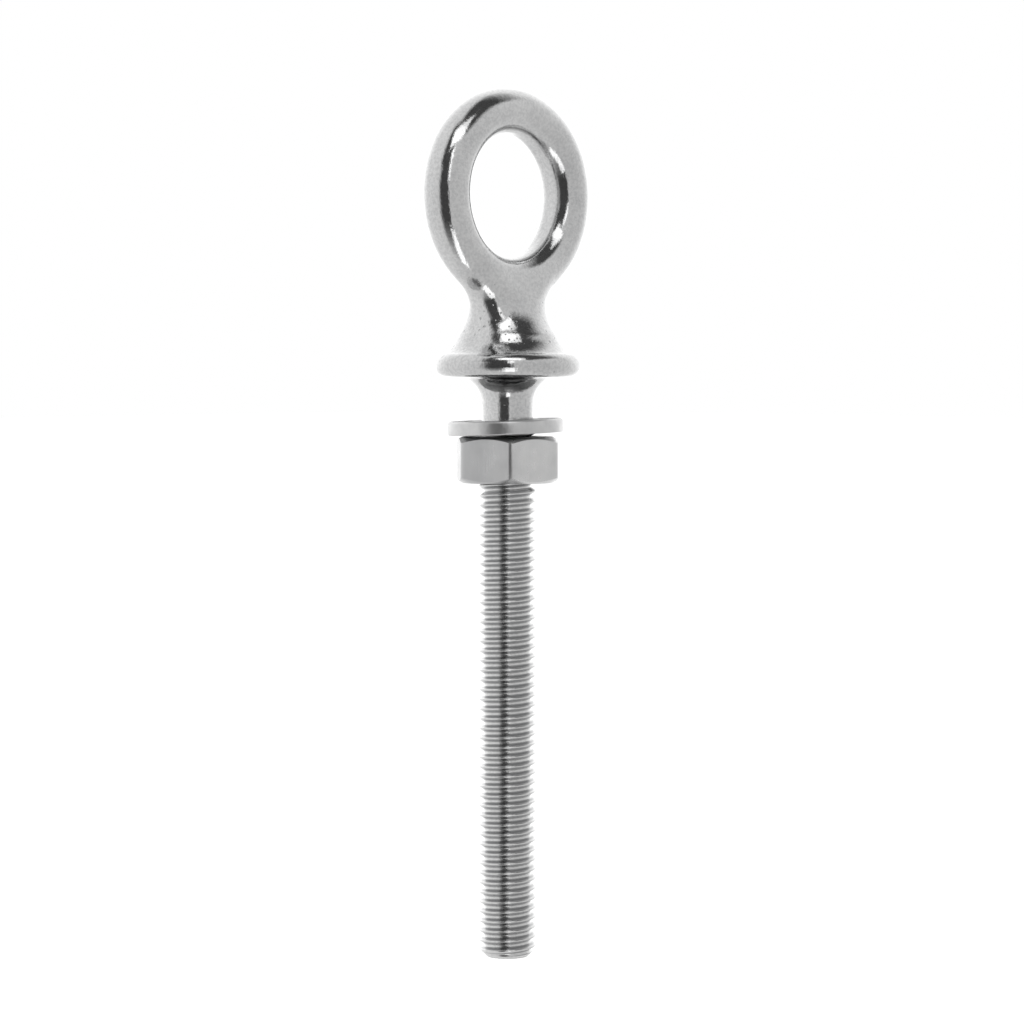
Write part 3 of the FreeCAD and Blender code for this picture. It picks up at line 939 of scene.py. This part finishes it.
def dark_card(name, swing, lift, distance, wide, tall, fades):
    """A card the metal sees as dark. fades says over what part of it each side fades to nothing."""
    stand, turned = facing(swing, lift, distance)
    start_clean()
    bpy.ops.mesh.primitive_plane_add(size=1.0, location=stand, rotation=turned)
    card = name_piece(name)
    card.scale = (span(distance, wide), span(distance, tall), 1)
    cloth = bpy.data.materials.new(name)
    cloth.use_nodes = True
    tree = cloth.node_tree
    tree.nodes.clear()
    place = lay(tree, "ShaderNodeTexCoord")
    split = lay(tree, "ShaderNodeSeparateXYZ", {"Vector": place.outputs["Object"]})
    cover = 1.0
    for side, fade in fades.items():
        axis, edge = EDGES[side]
        inward = edge - math.copysign(fade, edge)
        cover = arith(tree, "MULTIPLY", cover, spread(tree, split.outputs[axis], 0.0, 1.0, edge, inward))
    cloth_glow = lay(tree, "ShaderNodeEmission", {"Color": (1, 1, 1, 1), "Strength": CLOTH_BRIGHTNESS})
    clear = lay(tree, "ShaderNodeBsdfTransparent")
    mixed = lay(tree, "ShaderNodeMixShader", {"Fac": cover})
    tree.links.new(clear.outputs[0], mixed.inputs[1])
    tree.links.new(cloth_glow.outputs[0], mixed.inputs[2])
    lay(tree, "ShaderNodeOutputMaterial", {"Surface": mixed.outputs[0]})
    cloth.cycles.emission_sampling = "NONE"
    card.data.materials.append(cloth)
    card.visible_camera = False
    card.visible_shadow = False
    card.visible_diffuse = False
    card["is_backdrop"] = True
    print(f"{name}: {wide} by {tall} degrees")


dark_card("tent_gap", -18, -8, 0.60, 50, 110, {"left": 0.28, "right": 0.03, "foot": 0.40, "head": 0.06})
dark_card("tent_gap_above", -33, 50, 0.70, 26, 50, {"left": 0.35, "right": 0.25, "foot": 0.05, "head": 0.2})
dark_card("tent_open_top", 75, 68, 0.80, 66, 58, {"left": 0.15, "right": 0.35, "foot": 0.20, "head": 0.2})


# %% Soft boxes
def soft_box(name, swing, lift, distance, wide, tall, brightness):
    """An area light that shows in the metal with the given brightness, white being 1."""
    lamp = bpy.data.lights.new(name, "AREA")
    lamp.shape = "RECTANGLE"
    lamp.size = span(distance, wide)
    lamp.size_y = span(distance, tall)
    lamp.energy = brightness * math.pi * lamp.size * lamp.size_y
    box = bpy.data.objects.new(name, lamp)
    bpy.context.collection.objects.link(box)
    box.location, box.rotation_euler = facing(swing, lift, distance)
    print(f"{name}: {wide} by {tall} degrees, {lamp.energy:.2f} W")


soft_box("upper_soft_box", 8, 55, 0.50, 35, 23, 1.25)
soft_box("upper_strip", 5, 25, 0.50, 7, 26, 1.25)
soft_box("lower_soft_box", 4, -46, 0.50, 15, 38, 1.3)

# %% [markdown]
# ## The camera
# A long lens, level with the collar, looking a little down at the bolt, 45 degrees round from the
# eye's face. The bolt is small in a square frame, with most of its shank below the aim.

# %% Camera
CAMERA_DISTANCE = 342.2
CAMERA_HEIGHT = 2.47
AIM_RIGHT = 0.48
AIM_HEIGHT = -13.9
FOCAL_LENGTH = 117
lens = bpy.data.cameras.new("camera")
lens.lens = FOCAL_LENGTH
lens.sensor_width = 36
camera = bpy.data.objects.new("camera", lens)
bpy.context.collection.objects.link(camera)
camera.location = toward_camera * CAMERA_DISTANCE * MM + Vector((0, 0, CAMERA_HEIGHT * MM))
aim = camera_right * AIM_RIGHT * MM + Vector((0, 0, AIM_HEIGHT * MM))
camera.rotation_euler = (aim - camera.location).to_track_quat("-Z", "Y").to_euler()
bpy.context.scene.camera = camera
bpy.context.scene.view_settings.view_transform = "Standard"
print(f"a {FOCAL_LENGTH} mm lens, {CAMERA_DISTANCE} mm from the shank")

# %% [markdown]
# ## Last check
# The finer skins must lie where the design lies, so the whole object's size is written down
# before and after.

# %% Compare sizes and finish
look_low, look_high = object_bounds()
for word, design, model in zip("XYZ", cad_high - cad_low, look_high - look_low):
    print(f"{word}: design {design / MM:.2f} mm, model {model / MM:.2f} mm")
